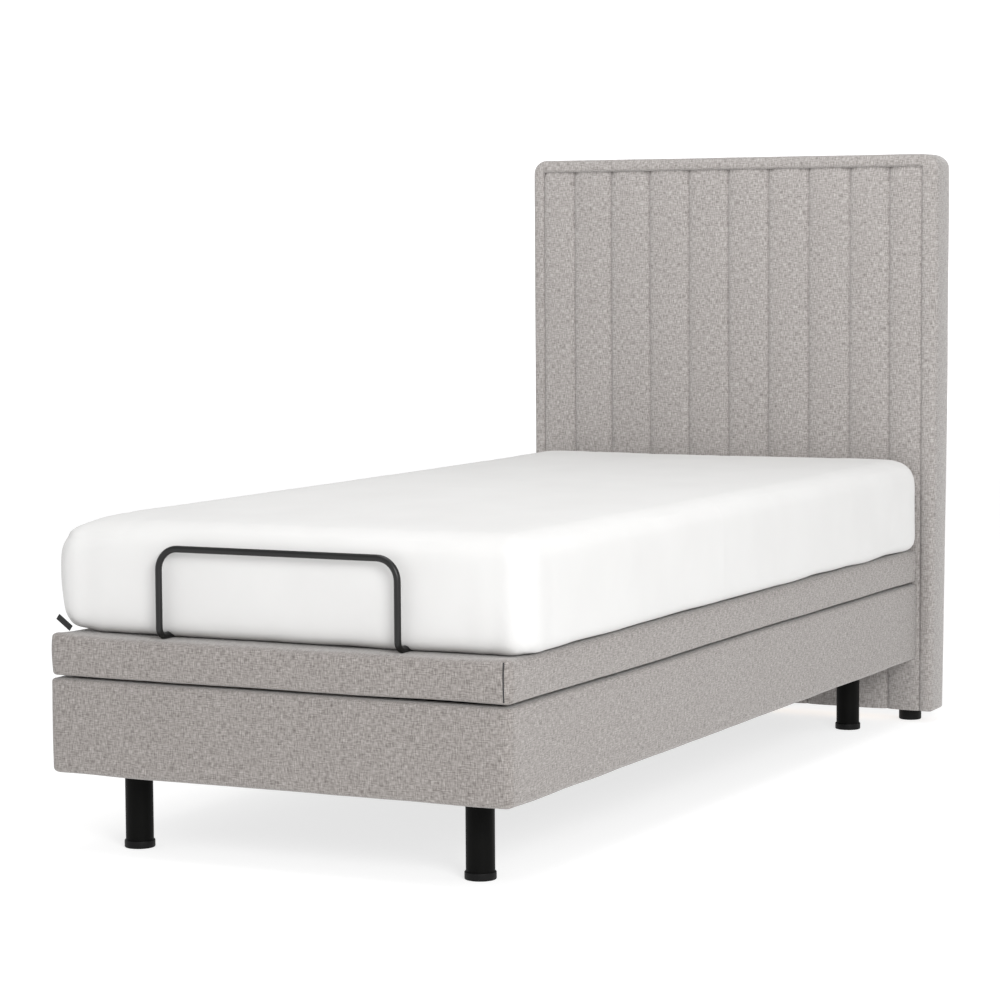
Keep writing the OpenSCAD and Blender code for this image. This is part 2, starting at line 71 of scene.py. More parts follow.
# %% Read the places off the frame
box_low, box_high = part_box("box_cover_right")
pad_low, pad_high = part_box("calf_pad")
mat_low, mat_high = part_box("calf_mattress")
face_low, face_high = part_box("headboard_face_pad")
rim_low, rim_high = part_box("headboard_border_right")
head_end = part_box("back_pad")[1].y
box_x, box_bottom, box_top = box_high.x, box_low.z, box_high.z
foot_y, board_face_y = box_low.y, box_high.y
deck_bottom, deck_top = pad_low.z, pad_high.z
board_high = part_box("calf_board")[1]
print(f"box {2 * box_x:.3f} m wide, deck from {deck_bottom:.3f} to {deck_top:.3f} m")

# %% [markdown]
# ## The camera
# A long lens a good way back keeps the bed's long sides nearly parallel, as a catalogue
# does. The camera stands low at the right-hand foot corner and looks slightly down.

# %% Place the camera
EYE = Vector((2.6922, -5.6086, 1.0702))
HEADING, DOWNWARD, ROLL = radians(26.423), radians(4.692), radians(-0.353)
camera = bpy.data.objects.new("camera", bpy.data.cameras.new("camera"))
bpy.context.scene.collection.objects.link(camera)
camera.data.sensor_width = 36
camera.data.lens = 112.35
camera.matrix_world = (
    Matrix.Translation(EYE)
    @ Matrix.Rotation(HEADING, 4, "Z")
    @ Matrix.Rotation(pi / 2 - DOWNWARD, 4, "X")
    @ Matrix.Rotation(ROLL, 4, "Z")
)
bpy.context.scene.camera = camera
print("camera at", [round(c, 2) for c in EYE])

# %% [markdown]
# ## Working by hand, in code
# Blender's operators act on whatever is selected, so each step starts from nothing selected.
# These helpers hold that habit: one makes a block, one opens a mesh for editing, one picks
# faces or edges by where they are, and one adds a modifier and applies it.


# %% Helpers for selecting and editing
def drop_selection():
    bpy.ops.object.select_all(action="DESELECT")


def take(obj):
    drop_selection()
    obj.select_set(True)
    bpy.context.view_layer.objects.active = obj


@contextmanager
def editing(obj):
    take(obj)
    bpy.ops.object.mode_set(mode="EDIT")
    bpy.ops.mesh.select_all(action="DESELECT")
    yield
    bpy.ops.object.mode_set(mode="OBJECT")


def pick(kind, rule):
    """Selects the vertices, edges or faces whose middle and normal satisfy the rule."""
    bpy.ops.mesh.select_mode(type=kind)
    bpy.ops.mesh.select_all(action="DESELECT")
    mesh = bmesh.from_edit_mesh(bpy.context.object.data)
    for item in {"VERT": mesh.verts, "EDGE": mesh.edges, "FACE": mesh.faces}[kind]:
        if kind == "EDGE":
            a, b = (v.co for v in item.verts)
            found = rule((a + b) / 2, (b - a).normalized())
        elif kind == "FACE":
            found = rule(item.calc_center_median(), item.normal)
        else:
            found = rule(item.co, item.normal)
        if found:
            item.select_set(True)
    bmesh.update_edit_mesh(bpy.context.object.data)


def settle():
    """Puts the new object's place, turn and size into its mesh."""
    bpy.ops.object.transform_apply(location=True, rotation=True, scale=True)
    return bpy.context.object


def block(name, low, high):
    drop_selection()
    size = [b - a for a, b in zip(low, high)]
    middle = [(a + b) / 2 for a, b in zip(low, high)]
    bpy.ops.mesh.primitive_cube_add(size=1, location=middle, scale=size)
    bpy.context.object.name = name
    return settle()


def modify(obj, kind, **settings):
    take(obj)
    bpy.ops.object.modifier_add(type=kind)
    modifier = obj.modifiers[-1]
    for name, value in settings.items():
        setattr(modifier, name, value)
    bpy.ops.object.modifier_apply(modifier=modifier.name)


def slice_along(axis, start, stop, count):
    """Cuts the whole mesh in edit mode at evenly spaced planes, to give it rows of faces."""
    normal = [float(i == axis) for i in range(3)]
    for i in range(1, count):
        place = [0.0, 0.0, 0.0]
        place[axis] = start + (stop - start) * i / count
        bpy.ops.mesh.select_all(action="SELECT")
        bpy.ops.mesh.bisect(plane_co=place, plane_no=normal)


def push(value, steps=1):
    """Draws the selected outline out by that much, in so many steps."""
    for _ in range(steps):
        bpy.ops.mesh.extrude_region_move(
            TRANSFORM_OT_translate={"value": [v / steps for v in value]}
        )


def swing(centre, axis, angle, steps=10):
    """Draws the selected outline round a centre; spin counts its angle the other way."""
    bpy.ops.mesh.spin(steps=steps, angle=-angle, center=centre, axis=axis)


def sculpt(obj, rule):
    """Moves every vertex to where the rule puts it, from its first place and normal."""
    before = [(vertex.co.copy(), vertex.normal.copy()) for vertex in obj.data.vertices]
    for vertex, (place, normal) in zip(obj.data.vertices, before):
        vertex.co = rule(place, normal)


def bump_at(x, y, z):
    """Smooth noise from -1 to 1 that is the same on every run."""
    return noise.noise(Vector((x, y, z)))


def smooth(obj, angle=40):
    take(obj)
    bpy.ops.object.shade_smooth_by_angle(angle=radians(angle))


def unwrap(obj):
    """Flat projections at true size, so that one unit of UV is one metre of cloth."""
    with editing(obj):
        bpy.ops.mesh.select_all(action="SELECT")
        bpy.ops.uv.cube_project(cube_size=1.0, correct_aspect=False, scale_to_bounds=False)


print("helpers ready")

# %% [markdown]
# ## Shader maths as plain sums
# A material is a web of nodes. Wrapping a socket in a small class lets the maths be written
# as `a * 0.5 + b`, and each sign adds the Math node that a hand would have dragged in.


# %% A class for sockets and one for materials
class Shade:
    def __init__(self, finish, socket):
        self.finish, self.socket = finish, socket

    def maths(self, operation, *values):
        sockets = dict(enumerate(values))
        return self.finish.node("ShaderNodeMath", {"operation": operation}, sockets)

    def __add__(self, other):
        return self.maths("ADD", self, other)

    def __sub__(self, other):
        return self.maths("SUBTRACT", self, other)

    def __rsub__(self, other):
        return self.maths("SUBTRACT", other, self)

    def __mul__(self, other):
        return self.maths("MULTIPLY", self, other)

    def wave(self):
        return self.maths("SINE", self)

    __radd__, __rmul__ = __add__, __mul__


class Finish:
    def __init__(self, name, **constants):
        self.material = bpy.data.materials.new(name)
        self.material.use_nodes = True
        self.tree = self.material.node_tree
        self.shader = self.tree.nodes["Principled BSDF"]
        for socket, value in constants.items():
            self.shader.inputs[socket.replace("_", " ")].default_value = value

    def node(self, kind, settings=None, sockets=None, out=0):
        """A node of that kind, its settings first, then its sockets; gives one output."""
        node = self.tree.nodes.new(kind)
        for name, value in (settings or {}).items():
            if name == "stops":
                for stop, (place, colour) in zip(node.color_ramp.elements, value):
                    stop.position = place
                    stop.color = (*colour, 1)
            else:
                setattr(node, name, value)
        for name, value in (sockets or {}).items():
            if isinstance(value, Shade):
                self.tree.links.new(value.socket, node.inputs[name])
            else:
                node.inputs[name].default_value = value
        return Shade(self, node.outputs[out])

    def place(self, kind="Object", scale=(1, 1, 1)):
        """Coordinates on the piece, stretched."""
        found = self.tree.nodes.new("ShaderNodeTexCoord")
        return self.node(
            "ShaderNodeMapping",
            {},
            {"Vector": Shade(self, found.outputs[kind]), "Scale": scale},
        )

    def grain(self, vector, scale=1.0, detail=2.0, rough=0.5):
        return self.node(
            "ShaderNodeTexNoise",
            {},
            {"Vector": vector, "Scale": scale, "Detail": detail, "Roughness": rough},
        )

    def ramp(self, value, *stops):
        return self.node("ShaderNodeValToRGB", {"stops": stops}, {0: value})

    def wear(self, socket, value):
        self.tree.links.new(value.socket, self.shader.inputs[socket])

    def relief(self, height, distance, strength=1.0):
        """Bump: the height pushes the surface in and out by that distance."""
        bump = self.node(
            "ShaderNodeBump",
            {},
            {"Height": height, "Distance": distance, "Strength": strength},
        )
        self.wear("Normal", bump)


def grey(level):
    return (level, level, level)


print("shader classes ready")

# %% [markdown]
# ## The upholstery cloth
# The cover cloth is a melange: warp and weft are spun from light and dark wool, so short
# darker and lighter stretches run both ways. Two noises, one stretched along each thread
# direction, give the stretches, and a fine third one gives the fuzz.


# %% Melange cloth
def melange(name, dark, light, contrast=1.0, sheen=0.0):
    cloth = Finish(name, Roughness=0.92, Sheen_Weight=sheen, Sheen_Roughness=0.5)
    cloth.shader.inputs["Specular IOR Level"].default_value = 0.15
    weft = cloth.grain(cloth.place("UV", (85, 520, 1)), detail=1.0, rough=0.5)
    warp = cloth.grain(cloth.place("UV", (520, 85, 1)), detail=1.0, rough=0.5)
    fuzz = cloth.grain(cloth.place("UV", (1100, 1100, 1)), detail=1.0, rough=0.6)
    cloudy = cloth.grain(cloth.place("UV", (9, 6, 1)), detail=3.0)
    threads = weft + warp * 1.1 + fuzz * 0.4 + cloudy * 0.06 - 1.28
    tone = threads * (1.2 * contrast) + 0.5
    cloth.wear("Base Color", cloth.ramp(tone, (0.0, dark), (1.0, light)))
    cloth.relief(weft + warp + fuzz, 0.0006, 0.6)
    return cloth.material


grey_cloth = melange("grey_cloth", (0.12, 0.106, 0.098), (0.385, 0.36, 0.343), sheen=0.3)
# The headboard's cloth is the grey melange made lighter: painted light for the extra light that
# falls on the headboard, which stands higher than the box.
headboard_lit_cloth = melange("headboard_lit_cloth", (0.155, 0.14, 0.132), (0.45, 0.427, 0.412), sheen=0.3)
back_cloth = melange("back_cloth", (0.10, 0.095, 0.09), (0.21, 0.20, 0.19), contrast=0.6)
print("cloth:", grey_cloth.name, back_cloth.name)

# %% [markdown]
# ## The sheet
# Washed cotton is nearly one white. What tells it from plastic is a dull surface, a very
# fine weave and faint creases left from folding.

# %% White sheet
cotton = Finish("white_sheet", Roughness=0.88)
cotton.shader.inputs["Specular IOR Level"].default_value = 0.2
creases = cotton.grain(cotton.place("UV", (7, 5, 1)), detail=4.0)
weave = cotton.grain(cotton.place("UV", (900, 900, 1)), detail=1.0)
shaded, lit = (0.632, 0.628, 0.622), (0.662, 0.659, 0.653)
cotton.wear("Base Color", cotton.ramp(creases * 0.7 + weave * 0.3, (0.3, shaded), (0.7, lit)))
cotton.relief(creases * 6.0 + weave * 0.25, 0.0009, 0.5)
white_sheet = cotton.material
print("sheet:", white_sheet.name)

# %% [markdown]
# ## Coated steel, bare steel, plastic and wood
# The hidden works get honest finishes too: powder coat has a fine orange peel, zinc a soft
# spangle, plywood its long grain and glued edges, and moulded plastic a fine spark texture.


# %% Hard finishes
def coated(name, colour, roughness, peel=0.00015, shine=0.3):
    finish = Finish(name, Specular_IOR_Level=shine)
    fine = finish.grain(finish.place(scale=(900, 900, 900)), detail=2.0)
    broad = finish.grain(finish.place(scale=(14, 14, 14)), detail=3.0)
    tint = tuple(c * 1.35 + 0.002 for c in colour)
    finish.wear("Base Color", finish.ramp(fine * 0.5 + broad * 0.5, (0.35, colour), (0.7, tint)))
    finish.wear("Roughness", broad * 0.16 + fine * 0.06 + (roughness - 0.11))
    finish.relief(fine, peel, 0.6)
    return finish.material


def bare_metal(name, colour, roughness):
    finish = Finish(name, Metallic=1.0)
    spangle = finish.node(
        "ShaderNodeTexVoronoi", {}, {"Vector": finish.place(scale=(160, 160, 160)), "Scale": 1.0}
    )
    brushed = finish.grain(finish.place(scale=(40, 900, 900)), detail=2.0)
    dark = tuple(c * 0.8 for c in colour)
    tone = spangle * 0.6 + brushed * 0.4
    finish.wear("Base Color", finish.ramp(tone, (0.1, dark), (0.8, colour)))
    finish.wear("Roughness", brushed * 0.2 + spangle * 0.1 + (roughness - 0.14))
    finish.relief(brushed, 0.00005, 0.5)
    return finish.material


def ply_board(name):
    finish = Finish(name, Roughness=0.62)
    grain = finish.grain(finish.place(scale=(42, 2.6, 42)), detail=5.0, rough=0.62)
    pores = finish.grain(finish.place(scale=(420, 14, 420)), detail=2.0)
    layers = finish.node(
        "ShaderNodeSeparateXYZ", {}, {"Vector": finish.place(scale=(1, 1, 2200))}, out=2
    ).wave()
    tone = grain * 0.72 + pores * 0.2 + layers * 0.035
    late_wood, early_wood = (0.36, 0.22, 0.12), (0.66, 0.49, 0.31)
    finish.wear("Base Color", finish.ramp(tone, (0.3, late_wood), (0.62, early_wood)))
    finish.wear("Roughness", grain * 0.2 + 0.5)
    finish.relief(tone, 0.0004, 0.6)
    return finish.material


def felted(name, dark, light):
    finish = Finish(name, Roughness=0.95)
    fibres = finish.grain(finish.place(scale=(260, 60, 260)), detail=4.0, rough=0.7)
    dots = finish.grain(finish.place(scale=(700, 700, 700)), detail=1.0)
    finish.wear("Base Color", finish.ramp(fibres * 0.6 + dots * 0.4, (0.3, dark), (0.7, light)))
    finish.relief(fibres + dots, 0.0005, 0.6)
    return finish.material


black_legs = coated("black_legs", (0.002, 0.002, 0.0018), 0.46, shine=0.05)
black_bar = coated("black_bar", (0.006, 0.006, 0.006), 0.36, shine=0.35)
black_plastic = coated("black_plastic", (0.004, 0.004, 0.004), 0.5, 0.00025, shine=0.12)
drive_plastic = coated("drive_plastic", (0.05, 0.052, 0.055), 0.52, 0.0003)
frame_steel = coated("frame_steel", (0.045, 0.047, 0.05), 0.45)
pale_nylon = coated("pale_nylon", (0.62, 0.61, 0.57), 0.4)
zinc_steel = bare_metal("zinc_steel", (0.62, 0.63, 0.65), 0.38)
plywood = ply_board("plywood")
dust_cloth = felted("dust_cloth", (0.012, 0.012, 0.013), (0.05, 0.05, 0.052))
print("hard finishes ready")

# %% [markdown]
# ## Finishes for the frame's own parts
# Each part of the frame carries the name of its finish in the record. The parts that stay
# on show keep their exact shape, and only get the surface that the name asks for.

# %% Dress the frame
finishes = {
    m.name: m
    for m in (
        grey_cloth, headboard_lit_cloth, back_cloth, white_sheet, black_legs, black_bar, black_plastic,
        drive_plastic, frame_steel, pale_nylon, zinc_steel, plywood, dust_cloth,
    )
}
slot_of = {part["node"]: part["material_slot"] for part in frame["record"]["subparts"]}
for name, node in frame["nodes"].items():
    node.data.materials.clear()
    node.data.materials.append(finishes[slot_of[name]])
print("dressed", len(slot_of), "parts")


def dress(obj, material, *nodes):
    """Gives a finished piece its cloth or coat, and hides the plain parts it stands for."""
    obj.data.materials.clear()
    obj.data.materials.append(material)
    if nodes:
        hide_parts(*nodes)
    print(f"{obj.name}: {len(obj.data.polygons)} faces")
    return obj


# %% [markdown]
# ## The box cover
# The lower box is a board frame wrapped in one length of cloth over thin wadding. The cloth
# turns over the boards' top edge and down inside, and ends under the box. It could be four
# flat strips, but then the corners would show joints, so one shell goes right round: a
# block whose top is inset and sunk to make the turned edge, and whose floor is opened.

# %% Wrap the box
TURN_IN, LIP, SKIN = 0.0265, 0.012, 0.0015
BOX_ROUND, BOX_RIM = 0.010, 0.005
wrap = block("box_cover", (-box_x, foot_y, box_bottom), (box_x, board_face_y, box_top))
with editing(wrap):
    pick("FACE", lambda c, n: n.z > 0.9)
    bpy.ops.mesh.inset(thickness=TURN_IN)
    bpy.ops.mesh.extrude_region_move(TRANSFORM_OT_translate={"value": (0, 0, -LIP)})
    bpy.ops.mesh.delete(type="FACE")
    pick("EDGE", lambda c, d: c.z < box_bottom + 0.001
         or (abs(d.z) > 0.9 and c.y < 0 and abs(c.x) > box_x - 0.001))
    bpy.ops.mesh.bevel(offset=BOX_ROUND, segments=5)
    pick("FACE", lambda c, n: n.z < -0.999)
    bpy.ops.mesh.inset(thickness=0.006)
    bpy.ops.mesh.delete(type="FACE")
    pick("EDGE", lambda c, d: abs(d.z) < 0.1 and c.z > box_top - 0.001
         and min(box_x - abs(c.x), c.y - foot_y, board_face_y - c.y) < 0.0035)
    bpy.ops.mesh.bevel(offset=BOX_RIM, segments=4)
    slice_along(1, foot_y, board_face_y, 68)
    slice_along(0, -box_x, box_x, 30)
    slice_along(2, box_bottom + BOX_ROUND, box_top - BOX_RIM, 6)
print("box cover:", len(wrap.data.vertices), "points")

# %% [markdown]
# Cloth stretched over wadding is never dead flat. It stands a little proud of its boards,
# has very long and very shallow waves, and its edge wanders by a millimetre or two along
# the seam. The part that is turned in stays flat on the boards.


# %% Relax the box cover
def seam_drift(y):
    """How far the seam between box and deck rises as it wanders along the side."""
    return 0.0012 + 0.0008 * sin(3.1 * y + 0.4) + 0.0006 * sin(7.3 * y + 1.9)


PROUD = 0.003


def proud(normal):
    """The wadding under the cloth pushes the sides and the foot out a little."""
    return Vector((normal.x, min(normal.y, 0), 0)) * PROUD


def relax_box(co, normal):
    high = (co.z - box_bottom) / (box_top - box_bottom)
    swell = 0.0009 * sin(pi * min(max(high, 0), 1))
    wave = 0.0012 * bump_at(co.x * 5, co.y * 5, co.z * 8)
    wave += 0.0004 * bump_at(co.x * 22, co.y * 22, co.z * 22)
    lift = Vector((0, 0, seam_drift(co.y) * max(high - 0.8, 0) * 5))
    droop = Vector((0, 0, 0.0012 * bump_at(co.x * 9, co.y * 9, 3) * max(0.2 - high, 0) * 5))
    inside = abs(co.x) < box_x - 0.02 and foot_y + 0.02 < co.y < board_face_y - 0.02
    if inside:
        return co + lift + droop
    return co + normal * (swell + wave) + proud(normal) + lift + droop


sculpt(wrap, relax_box)
modify(wrap, "SOLIDIFY", thickness=SKIN, offset=-1)
smooth(wrap)
unwrap(wrap)
dress(wrap, grey_cloth, "box_cover_left", "box_cover_right", "box_cover_foot", "box_cover_head")
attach(wrap, "base")

# %% [markdown]
# ## The deck cover
# The moving deck is boards under foam under one long cloth cover. Its top edge is full and
# round, its lower edge curls in over the boards, and the mattress presses it down a little.
# Where the boards hinge, the cover bends, so it is cut in three at places that never show,
# each piece taking in one hinge only.

# %% Cut planes and the span of each piece
SEAT_CUT, KNEE_CUT = 0.0975, -0.1775
PAST_THE_END = 2.0
SPANS = {
    "back": (SEAT_CUT, PAST_THE_END),
    "thigh": (KNEE_CUT, SEAT_CUT),
    "calf": (-PAST_THE_END, KNEE_CUT),
}


def cut_in_three(whole, label, material, nodes):
    """Copies the whole for each section and cuts each copy at its planes."""
    pieces = []
    for section, (low, high) in SPANS.items():
        piece = whole.copy()
        piece.data = whole.data.copy()
        piece.name = f"{label}_{section}"
        bpy.context.scene.collection.objects.link(piece)
        with editing(piece):
            for place, side in ((low, -1), (high, 1)):
                if abs(place) < PAST_THE_END:
                    bpy.ops.mesh.select_all(action="SELECT")
                    bpy.ops.mesh.bisect(
                        plane_co=(0, place, 0),
                        plane_no=(0, side, 0),
                        use_fill=True,
                        clear_outer=True,
                    )
        smooth(piece)
        unwrap(piece)
        dress(piece, material, *nodes[section])
        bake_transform(piece)
        pieces.append(piece)
    bpy.data.objects.remove(whole)
    return pieces


# %% Build the deck cover
DECK_ROUND, DECK_RIM = 0.012, 0.007
deck = block("deck_cover", (-box_x, foot_y, deck_bottom), (box_x, head_end, deck_top))
with editing(deck):
    pick("FACE", lambda c, n: n.z < -0.9)
    bpy.ops.mesh.inset(thickness=box_x - board_high.x - 0.0005)
    bpy.ops.mesh.extrude_region_move(
        TRANSFORM_OT_translate={"value": (0, 0, board_high.z - deck_bottom)}
    )
    pick("EDGE", lambda c, d: c.z > deck_top - 0.001
         or (abs(d.z) > 0.9 and abs(c.x) > box_x - 0.001))
    bpy.ops.mesh.bevel(offset=DECK_ROUND, segments=6)
    pick("EDGE", lambda c, d: abs(d.z) < 0.1 and c.z < deck_bottom + 0.001
         and min(box_x - abs(c.x), c.y - foot_y, head_end - c.y) < 0.004)
    bpy.ops.mesh.bevel(offset=DECK_RIM, segments=4)
    slice_along(1, foot_y, head_end, 102)
    slice_along(0, -box_x, box_x, 36)
    slice_along(2, deck_bottom + DECK_RIM, deck_top - DECK_ROUND, 7)
print("deck cover:", len(deck.data.vertices), "points")


PRESS = 0.011


def sunk(co):
    """How deep the mattress presses the deck: most along the edges, little at the corners."""
    corner = Vector((box_x - abs(co.x), co.y - foot_y)).length
    return PRESS * (1 - 0.6 * exp(-corner / 0.035))


def relax_deck(co, normal):
    high = min(max((co.z - deck_bottom) / (deck_top - deck_bottom), 0), 1)
    under = abs(co.x) < board_high.x + 0.002 and co.z < board_high.z + 0.001
    if under and foot_y + 0.016 < co.y < head_end - 0.016:
        return co
    swell = 0.0028 * sin(pi * high) - 0.0012
    wave = 0.0011 * bump_at(co.x * 6, co.y * 6 + 5, co.z * 9)
    wave += 0.0005 * bump_at(co.x * 25, co.y * 25, co.z * 25)
    lift = Vector((0, 0, seam_drift(co.y) * max(0.25 - high, 0) * 4))
    press = Vector((0, 0, sunk(co) * max(high - 0.6, 0) / 0.4))
    return co + normal * (swell + wave) + proud(normal) + lift - press


sculpt(deck, relax_deck)
deck_pads = {"back": ["back_pad"], "thigh": ["seat_pad", "thigh_pad"], "calf": ["calf_pad"]}
cut_in_three(deck, "deck_cover", grey_cloth, deck_pads)

# %% [markdown]
# The cover's foot panel is sewn to its side a finger's breadth from the right-hand corner. A
# near-black strip along the seam is painted shade of its groove, pressed into the same swell
# as the cloth round it.

# %% Paint the shade of the corner seam
SEAM_IN, SEAM_SHADE_HALF = 0.0085, 0.0011
seam_x, seam_low, seam_high = box_x - SEAM_IN, deck_bottom + 0.006, deck_top - 0.008
seam_shade = block(
    "corner_seam_shade",
    (seam_x - SEAM_SHADE_HALF, foot_y - 0.0002, seam_low),
    (seam_x + SEAM_SHADE_HALF, foot_y + 0.003, seam_high),
)
with editing(seam_shade):
    slice_along(2, seam_low, seam_high, 10)
sculpt(seam_shade, lambda co, normal: relax_deck(co, Vector((0, -1, 0))))
unwrap(seam_shade)
# The strip is dressed near-black: painted shade of the seam's groove.
dress(seam_shade, dust_cloth)
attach(seam_shade, "calf")

# %% [markdown]
# ## The mattress in its sheet
# A foam mattress under a fitted sheet is a block that has been breathed into: every edge is
# round, the sides stand out a little at half height, and the top is gently crowned. The
# block is remeshed, blown up by a cloth simulation that is held to a few millimetres, and
# flattened again where it lies on the deck. Its left-hand foot corner is the softest: it
# slumps at the top, bulges at half height and is tucked up at the hem.


# %% Blow up a padded piece
def inflate(obj, voxel, pressure, most):
    modify(obj, "REMESH", mode="VOXEL", voxel_size=voxel, use_smooth_shade=True)
    start = [v.co.copy() for v in obj.data.vertices]
    take(obj)
    bpy.ops.object.modifier_add(type="CLOTH")
    cloth = obj.modifiers[-1]
    cloth.settings.use_pressure = True
    cloth.settings.uniform_pressure_force = pressure
    cloth.settings.effector_weights.gravity = 0
    for step in range(1, 21):
        bpy.context.scene.frame_set(step)
    bpy.ops.object.modifier_apply(modifier=cloth.name)
    bpy.context.scene.frame_set(1)
    for vertex, before in zip(obj.data.vertices, start):
        moved = vertex.co - before
        if moved.length > most:
            vertex.co = before + moved.normalized() * most


print("ready to blow up padded pieces")


# %% Make the mattress
SWELL, SINK = 0.007, 0.010
mattress = block(
    "mattress",
    (-mat_high.x - 0.001, mat_low.y - 0.003, mat_low.z - SINK),
    (mat_high.x + 0.001, head_end - 0.003, mat_high.z - 0.002),
)
with editing(mattress):
    pick("EDGE", lambda c, d: abs(d.z) > 0.9 or c.z > mat_high.z - 0.02)
    bpy.ops.mesh.bevel(offset=0.048, segments=8)
    pick("EDGE", lambda c, d: c.z < mat_low.z + 0.01)
    bpy.ops.mesh.bevel(offset=0.024, segments=6)
inflate(mattress, 0.012, 4.0, SWELL)
modify(mattress, "SUBSURF", levels=1, render_levels=1)
print("mattress:", len(mattress.data.vertices), "points")


SLUMP, TUCK, BULGE = 0.019, 0.018, 0.012
side_x = mat_high.x + 0.001 + SWELL


def soft_corner(co, high):
    """How the left-hand foot corner slumps, bulges and is tucked up."""
    in_x, in_y = max(co.x + side_x, 0), co.y - mat_low.y
    slump = SLUMP * high ** 2 * exp(-((in_x / 0.16) ** 2) - (in_y / 0.10) ** 2)
    tuck = TUCK * max(0.5 - high, 0) * 2 * exp(-((in_x / 0.055) ** 2) - (in_y / 0.09) ** 2)
    side = max(-co.x - 0.38, 0) / 0.1
    bulge = BULGE * side * sin(pi * high) * exp(-((in_y / 0.4) ** 2))
    return Vector((-bulge, 0, tuck - slump))


def relax_mattress(co, normal):
    calm = min(abs(co.y - SEAT_CUT), abs(co.y - KNEE_CUT)) / 0.03
    calm = min(calm, 1.0)
    high = min(max((co.z - mat_low.z) / (mat_high.z - mat_low.z), 0), 1)
    wave = 0.0016 * bump_at(co.x * 5, co.y * 4 + 9, co.z * 6)
    wave += 0.0005 * bump_at(co.x * 17, co.y * 15, co.z * 17)
    corner = Vector((abs(co.x) - 0.46, co.y - mat_low.y - 0.02)).length
    near = max(0.0, 1 - corner / 0.11)
    fold = 0.0024 * near * sin(95 * (co.x + 0.6 * co.y)) * (1 - high * 0.5)
    hem = 0.003 * bump_at(co.x * 7, co.y * 7, 1) * max(0.25 - high, 0) * 4 * calm
    moved = co + normal * (wave * calm + fold + hem) + soft_corner(co, high)
    if high > 0.9:
        moved.z = co.z + (moved.z - co.z) * 0.6
    return moved


sculpt(mattress, relax_mattress)
for vertex in mattress.data.vertices:
    vertex.co.z = max(vertex.co.z, mat_low.z - sunk(vertex.co) + 0.0005)
mattress_blocks = {
    "back": ["back_mattress"],
    "thigh": ["seat_mattress", "thigh_mattress"],
    "calf": ["calf_mattress"],
}
cut_in_three(mattress, "mattress", white_sheet, mattress_blocks)

# %% [markdown]
# A plain black tab is caught in the sheet's hem at one foot corner. It hangs askew.

# %% Sew on the tab
tab_middle = (-mat_high.x + 0.032, mat_low.y - 0.009, deck_top + 0.008)
TAB_SIZE, TAB_TILT = (0.034, 0.0014, 0.011), radians(36)
drop_selection()
bpy.ops.mesh.primitive_cube_add(
    size=1, location=tab_middle, rotation=(0, TAB_TILT, 0), scale=TAB_SIZE
)
bpy.context.object.name = "hem_tab"
tab = settle()
dress(tab, black_bar)
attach(tab, "calf")

# %% [markdown]
# ## Under the box
# A thin black cloth is stapled up under the boards to keep dust out. It is held only at its
# edges, so its middle hangs a few millimetres lower.

# %% Staple up the dust cover
dust_low, dust_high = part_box("dust_cover")
dust_size = (dust_high.x - dust_low.x, dust_high.y - dust_low.y)
dust_middle = (0, (dust_low.y + dust_high.y) / 2, dust_high.z)
drop_selection()
bpy.ops.mesh.primitive_grid_add(
    x_subdivisions=36, y_subdivisions=80, size=1, location=dust_middle
)
bpy.context.object.scale = (*dust_size, 1)
bpy.context.object.name = "dust_cover_sheet"
dust_sheet = settle()


def sag(co, normal):
    across = 1 - (2 * co.x / dust_size[0]) ** 2
    along = 1 - (2 * (co.y - dust_middle[1]) / dust_size[1]) ** 6
    ripple = 0.0012 * bump_at(co.x * 6, co.y * 6, 12)
    return co - Vector((0, 0, (0.007 * across + ripple) * along * max(across, 0) ** 0.5))


sculpt(dust_sheet, sag)
smooth(dust_sheet)
unwrap(dust_sheet)
dress(dust_sheet, dust_cloth, "dust_cover")
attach(dust_sheet, "base")

# %% [markdown]
# ## The channelled headboard
# The front of the headboard is one cloth quilted over foam: nine seams from top to bottom
# pull it in, and tiny puckers run off each seam. A fine grid is pressed in along the seams,
# and then given its thickness.

# %% Quilt the panel
SEAMS = [-0.384, -0.291, -0.194, -0.097, 0, 0.097, 0.194, 0.291, 0.384]
PANEL_T = 0.026


def quilt_panel():
    drop_selection()
    size = (face_high.x - face_low.x, face_high.z - face_low.z)
    middle = (0, face_low.y, (face_low.z + face_high.z) / 2)
    bpy.ops.mesh.primitive_grid_add(
        x_subdivisions=240, y_subdivisions=104, size=1, location=middle, rotation=(pi / 2, 0, 0)
    )
    bpy.context.object.scale = (*size, 1)
    bpy.context.object.name = "headboard_channels"
    return settle()


def gather(co, normal):
    """Slides the grid's columns towards the seams, where the shape is tightest."""
    for low, high in zip([face_low.x, *SEAMS], [*SEAMS, face_high.x]):
        if low <= co.x <= high:
            share = (co.x - low) / (high - low)
            share -= 0.78 * sin(2 * pi * share) / (2 * pi)
            return Vector((low + (high - low) * share, co.y, co.z))
    return co


